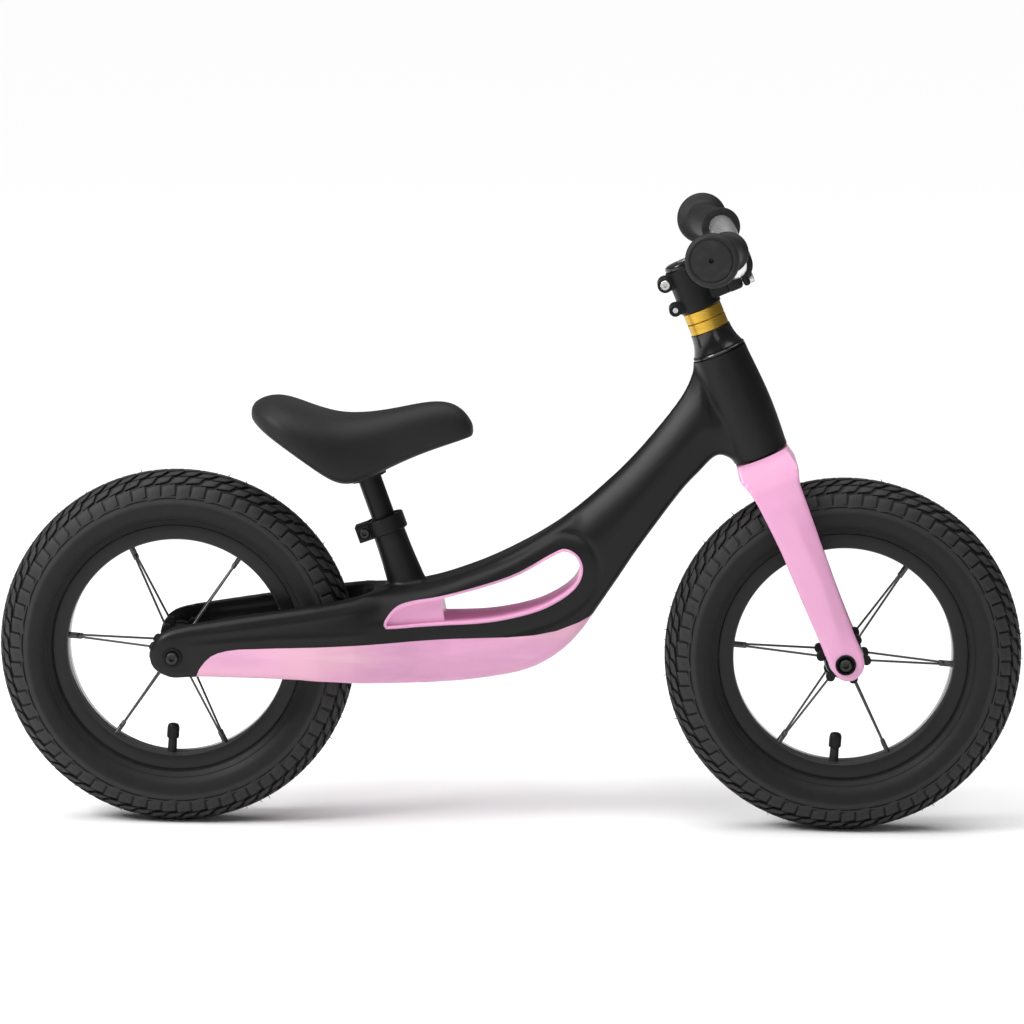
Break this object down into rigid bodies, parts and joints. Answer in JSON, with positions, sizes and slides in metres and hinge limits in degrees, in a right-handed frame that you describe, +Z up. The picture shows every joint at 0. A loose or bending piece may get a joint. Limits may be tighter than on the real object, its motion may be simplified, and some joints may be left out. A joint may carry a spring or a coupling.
{
  "type": "balance bike",
  "caption": "Child's pedal-free balance bike with a cast frame and fork, air-tyred spoked wheels, full-turn steering and a height-adjustable saddle.",
  "frame": {"origin": "on the ground, midway between the two axles, in the plane of symmetry", "axes": "+X points forward, +Y to the rider's left, +Z up"},
  "size_m": [0.888, 0.3808, 0.5381],
  "materials": {
    "frame_paint": "satin black powder coat over a casting, pink below and in the window",
    "fork_paint": "smooth gloss pink paint",
    "black_alloy": "satin black anodised or painted alloy",
    "gloss_black": "gloss black moulding",
    "black_plastic": "fine matt black moulding",
    "dark_steel": "blackened steel",
    "bright_steel": "zinc plated steel",
    "bearing_steel": "ground bearing steel",
    "bar_steel": "satin chrome on steel",
    "gold_alloy": "gold anodised alloy",
    "saddle_foam": "matt integral-skin foam",
    "grip_rubber": "matt moulded rubber",
    "tyre_rubber": "black tyre rubber",
    "inner_rubber": "butyl rubber",
    "rim_tape": "thin tape",
    "rim_paint": "satin black alloy rim",
    "spoke_steel": "blackened steel wire",
    "valve_rubber": "moulded rubber over brass"
  },
  "bodies": {
    "frame": {"frame": "frame_paint", "upper_bearing": "bearing_steel", "lower_bearing": "bearing_steel", "seat_clamp": "black_alloy", "seat_clamp_bolt": "dark_steel", "rear_axle": "dark_steel", "rear_axle_bolts": "dark_steel", "rear_axle_washers": "black_alloy"},
    "seat": {"seat_post": "black_alloy", "saddle_base": "black_plastic", "saddle_pad": "saddle_foam", "saddle_bolt": "dark_steel"},
    "steering": {"fork": "fork_paint", "steerer": "dark_steel", "crown_race": "bearing_steel", "compression_ring": "bearing_steel", "headset_cover": "gloss_black", "lower_spacer": "gold_alloy", "upper_spacer": "gold_alloy", "stem": "black_alloy", "stem_faceplate": "black_alloy", "stem_clamp_bolts": "bright_steel", "faceplate_bolts": "bright_steel", "top_cap": "gloss_black", "top_cap_bolt": "bright_steel", "star_nut": "bright_steel", "handlebar": "bar_steel", "grip_right": "grip_rubber", "grip_left": "grip_rubber", "front_axle": "dark_steel", "front_axle_bolts": "dark_steel", "front_axle_washers": "black_alloy"},
    "rear_wheel": {"rear_tyre": "tyre_rubber", "rear_inner_tube": "inner_rubber", "rear_rim_tape": "rim_tape", "rear_rim": "rim_paint", "rear_spokes": "spoke_steel", "rear_nipples": "spoke_steel", "rear_hub": "black_alloy", "rear_hub_bearings": "bearing_steel", "rear_valve": "valve_rubber", "rear_valve_cap": "black_plastic"},
    "front_wheel": {"front_tyre": "tyre_rubber", "front_inner_tube": "inner_rubber", "front_rim_tape": "rim_tape", "front_rim": "rim_paint", "front_spokes": "spoke_steel", "front_nipples": "spoke_steel", "front_hub": "black_alloy", "front_hub_bearings": "bearing_steel", "front_valve": "valve_rubber", "front_valve_cap": "black_plastic"}
  },
  "joints": [
    {"name": "steering", "type": "hinge", "parent": "frame", "child": "steering", "pos_m": [0.289, 0, 0.155], "axis": [-0.3907, 0, 0.9205], "continuous": true},
    {"name": "front_wheel_spin", "type": "hinge", "parent": "steering", "child": "front_wheel", "pos_m": [0.289, 0, 0.155], "axis": [0, 1, 0], "continuous": true},
    {"name": "rear_wheel_spin", "type": "hinge", "parent": "frame", "child": "rear_wheel", "pos_m": [-0.289, 0, 0.155], "axis": [0, 1, 0], "continuous": true},
    {"name": "seat_height", "type": "slide", "parent": "frame", "child": "seat", "axis": [-0.342, 0, 0.9397], "range_m": [-0.03, 0.05]}
  ]
}
